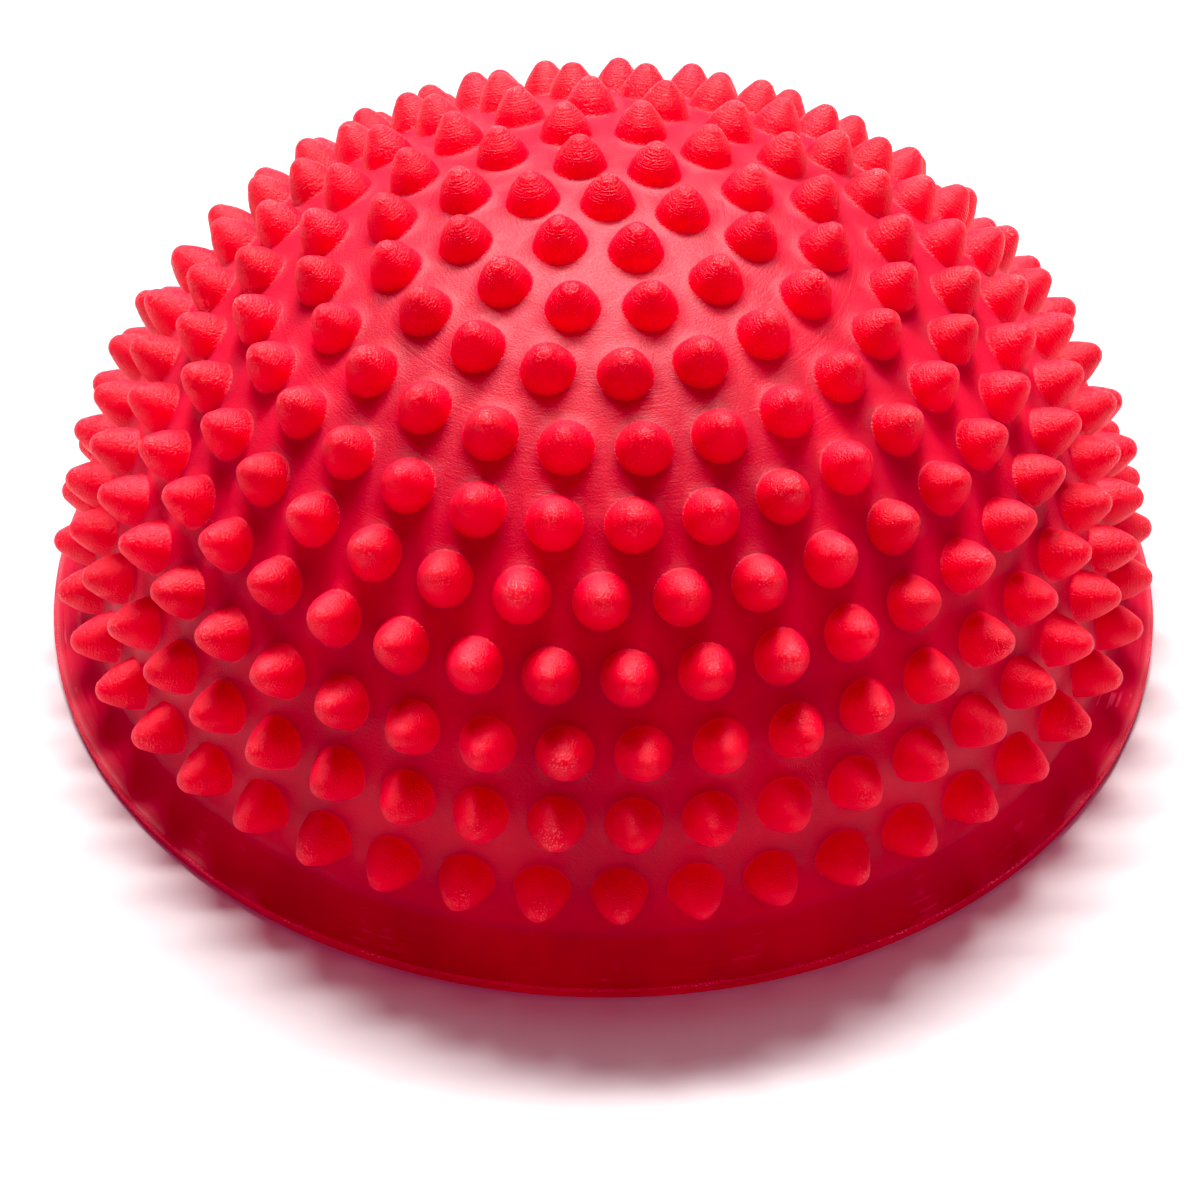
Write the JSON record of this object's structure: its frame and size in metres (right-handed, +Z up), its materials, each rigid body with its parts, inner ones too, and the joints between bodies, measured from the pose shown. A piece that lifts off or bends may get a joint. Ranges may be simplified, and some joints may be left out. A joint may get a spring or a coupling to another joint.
{
  "type": "wobble cushion",
  "caption": "Air-filled soft-PVC half-dome balance pod, covered in rings of blunt cone spikes, with a flared rim and a plugged needle valve underneath.",
  "frame": {"origin": "centre of the underside, on the surface that it stands on", "axes": "+Z up through the dome's pole, +X and +Y level"},
  "size_m": [0.165, 0.165, 0.0783],
  "materials": {
    "shell_pvc": "satin soft PVC, bright red, slightly translucent with a powdery bloom",
    "base_pvc": "matte soft PVC, red",
    "seal_rubber": "matte black rubber",
    "plug_rubber": "satin soft PVC, darker red"
  },
  "bodies": {
    "pod": {"dome_shell": "shell_pvc", "base_membrane": "base_pvc", "valve_housing": "base_pvc", "valve_seal": "seal_rubber"},
    "plug": {"valve_plug": "plug_rubber"}
  },
  "joints": [
    {"name": "plug_pull", "type": "slide", "parent": "pod", "child": "plug", "axis": [0, 0, -1], "range_m": [0, 0.012]}
  ]
}
